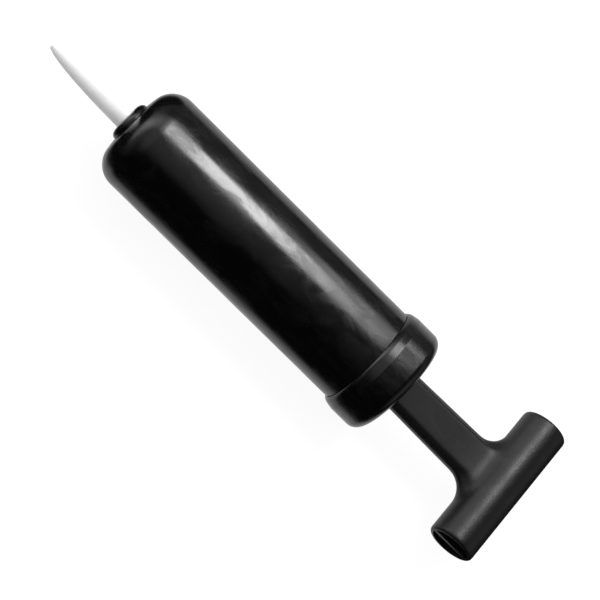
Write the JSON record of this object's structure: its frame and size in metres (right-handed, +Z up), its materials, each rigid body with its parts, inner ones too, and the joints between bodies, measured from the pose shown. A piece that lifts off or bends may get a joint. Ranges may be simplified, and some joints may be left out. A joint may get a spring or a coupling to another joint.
{
  "type": "hand vacuum pump",
  "caption": "T-handled hand air pump: gloss black barrel with domed head and tapered white nozzle, push-fit end cap and a sliding plunger with cup seal and inlet valve.",
  "frame": {"origin": "on the pump axis, halfway along the straight outside wall of the barrel", "axes": "+X along the pump axis from the nozzle towards the handle, the way the plunger pulls out; +Y along the T-bar; +Z up, square to the flat face of the neck"},
  "size_m": [0.2576, 0.0642, 0.0494],
  "materials": {
    "barrel_plastic": "high gloss black moulded plastic",
    "cap_plastic": "gloss black moulded plastic",
    "collar_plastic": "gloss black moulded plastic",
    "handle_plastic": "satin black moulded plastic",
    "nozzle_plastic": "white translucent-looking moulded plastic, soft gloss",
    "bush_plastic": "grey self-lubricating plastic, as moulded",
    "piston_plastic": "natural nylon, as moulded",
    "ring_plastic": "off-white bearing plastic, satin",
    "valve_plastic": "off-white moulded plastic",
    "felt": "pressed wool felt, lightly oiled",
    "bumper_rubber": "soft black rubber",
    "seal_rubber": "black sheet rubber",
    "cup_rubber": "greased black rubber",
    "valve_rubber": "red-brown rubber",
    "spring_steel": "drawn spring steel",
    "plate_steel": "zinc-plated pressed steel",
    "screw_steel": "zinc-plated steel"
  },
  "bodies": {
    "casing": {"barrel": "barrel_plastic", "end_cap": "cap_plastic", "guide_bush": "bush_plastic", "felt_wiper": "felt", "bumper_ring": "bumper_rubber", "nozzle": "nozzle_plastic", "nozzle_collar": "collar_plastic", "collar_gasket": "seal_rubber", "nozzle_gasket": "seal_rubber", "valve_seat": "valve_plastic", "valve_cage": "valve_plastic", "valve_spring": "spring_steel"},
    "plunger": {"handle_rod": "handle_plastic", "piston_body": "piston_plastic", "guide_ring": "ring_plastic", "piston_cup": "cup_rubber", "cup_expander": "spring_steel", "clamp_plate": "plate_steel", "screw_washer": "plate_steel", "piston_screw": "screw_steel"},
    "valve": {"valve_disc": "valve_rubber"}
  },
  "joints": [
    {"name": "plunger_slide", "type": "slide", "parent": "casing", "child": "plunger", "axis": [1, 0, 0], "range_m": [0, 0.09]},
    {"name": "valve_slide", "type": "slide", "parent": "casing", "child": "valve", "axis": [1, 0, 0], "range_m": [0, 0.001], "stiffness_N_per_m": 8, "springref_m": -0.002, "deforming": ["valve_spring"]}
  ]
}
